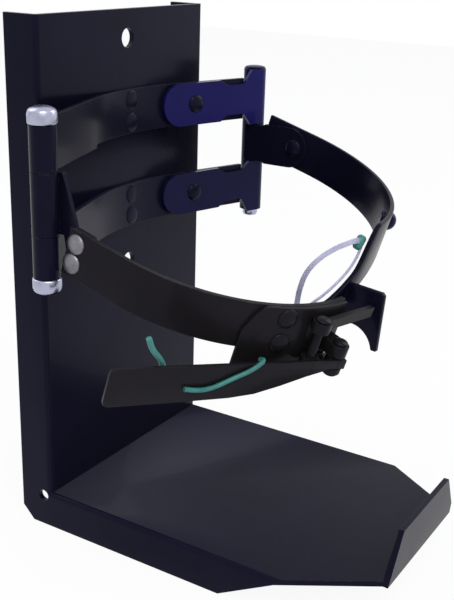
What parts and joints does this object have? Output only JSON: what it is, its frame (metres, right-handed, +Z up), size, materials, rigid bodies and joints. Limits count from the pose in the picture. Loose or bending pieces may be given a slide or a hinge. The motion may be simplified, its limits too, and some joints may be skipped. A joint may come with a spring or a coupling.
{
  "type": "fire extinguisher bracket",
  "caption": "Heavy sheet-steel vehicle bracket for a fire extinguisher: folded back plate and foot, two-part hinged clamp ring and an over-centre latch at the front.",
  "frame": {"origin": "middle of the two wall bolts, on the back face of the plate", "axes": "+Z up the plate, +Y into the wall, +X to the right hinge"},
  "size_m": [0.2482, 0.2294, 0.295],
  "materials": {
    "black_paint": "glossy black paint",
    "latch_black": "satin black paint, worn",
    "bright_steel": "bright plated",
    "teal_tie": "satin plastic"
  },
  "bodies": {
    "bracket": {"back_plate": "black_paint", "upper_rear_strap": "black_paint", "lower_rear_strap": "black_paint", "upper_hinge_plate": "black_paint", "lower_hinge_plate": "black_paint", "right_hinge_pin": "bright_steel", "left_hinge_pin": "bright_steel", "upper_pin_cap": "bright_steel", "lower_pin_cap": "bright_steel", "upper_plate_rivet": "black_paint", "lower_plate_rivet": "black_paint", "lower_web_rivet_bottom": "black_paint", "lower_web_rivet_top": "black_paint", "upper_web_rivet_bottom": "black_paint", "upper_web_rivet_top": "black_paint"},
    "right_half": {"band_hinge_plate": "black_paint", "band_rivet": "black_paint", "right_band": "black_paint", "band_bolt": "black_paint", "band_washer": "black_paint", "band_nut": "black_paint", "tie_bead": "teal_tie"},
    "left_half": {"base_rivet_bottom": "black_paint", "base_rivet_top": "black_paint", "latch_base": "black_paint", "left_strap": "black_paint", "pivot_pin": "latch_black", "strap_hinge_plate": "black_paint", "strap_rivet_bottom": "bright_steel", "strap_rivet_top": "bright_steel"},
    "lever": {"latch_lever": "latch_black", "link_pin": "latch_black", "safety_tie": "teal_tie"},
    "link": {"latch_link": "latch_black"}
  },
  "joints": [
    {"name": "right_hinge", "type": "hinge", "parent": "bracket", "child": "right_half", "pos_m": [0.10097, -0.02798, -0.00365], "axis": [0, 0, 1], "range_deg": [0, 110]},
    {"name": "left_hinge", "type": "hinge", "parent": "bracket", "child": "left_half", "pos_m": [-0.10097, -0.02798, -0.006], "axis": [0, 0, 1], "range_deg": [-110, 0]},
    {"name": "latch_lever_turn", "type": "hinge", "parent": "left_half", "child": "lever", "pos_m": [-0.03375, -0.15786, -0.08683], "axis": [0, -0.2874, 0.9578], "range_deg": [0, 150]},
    {"name": "latch_link_turn", "type": "hinge", "parent": "lever", "child": "link", "pos_m": [-0.0476, -0.15817, -0.05795], "axis": [0, -0.2874, 0.9578], "range_deg": [-210, 0]}
  ],
  "couplings": [
    {"joint": "latch_link_turn", "follows": "latch_lever_turn", "ratio": -1.4}
  ]
}
